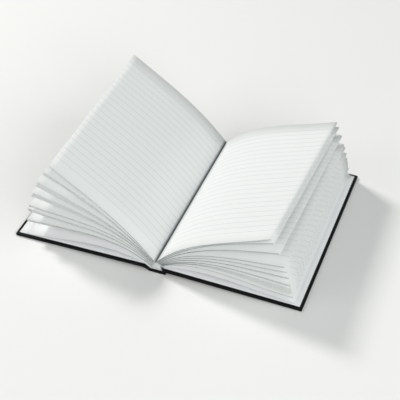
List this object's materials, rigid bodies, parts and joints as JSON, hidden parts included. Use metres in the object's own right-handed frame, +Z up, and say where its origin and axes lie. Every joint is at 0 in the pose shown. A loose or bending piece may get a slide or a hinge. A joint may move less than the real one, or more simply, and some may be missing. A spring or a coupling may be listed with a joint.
{
  "type": "open composition notebook",
  "caption": "Hard-cover ruled notebook lying open on its back, with its leaves fanned up on both sides and its covers hinged at the spine.",
  "frame": {"origin": "middle of the spine's underside, which rests on the table", "axes": "+Z up, +X towards the fore edge of the right-hand page, +Y towards the head of the pages"},
  "size_m": [0.3171, 0.216, 0.1089],
  "materials": {
    "leaf_paper": "matte",
    "endpaper": "matte",
    "cover_cloth": "satin",
    "greyboard": "matte",
    "card": "matte",
    "mull": "matte"
  },
  "bodies": {
    "block": {"text_block": "leaf_paper", "spine_lining": "mull", "spine_card": "card", "spine_cloth": "cover_cloth", "front_flyleaf": "endpaper", "back_flyleaf": "endpaper"},
    "front_cover": {"front_board": "greyboard", "front_cover_cloth": "cover_cloth", "front_pastedown": "endpaper"},
    "back_cover": {"back_board": "greyboard", "back_cover_cloth": "cover_cloth", "back_pastedown": "endpaper"}
  },
  "joints": [
    {"name": "front_cover_hinge", "type": "hinge", "parent": "block", "child": "front_cover", "pos_m": [-0.00795, 0, 0], "axis": [0, -1, 0], "range_deg": [0, 90]},
    {"name": "back_cover_hinge", "type": "hinge", "parent": "block", "child": "back_cover", "pos_m": [0.00795, 0, 0], "axis": [0, 1, 0], "range_deg": [0, 90]}
  ]
}
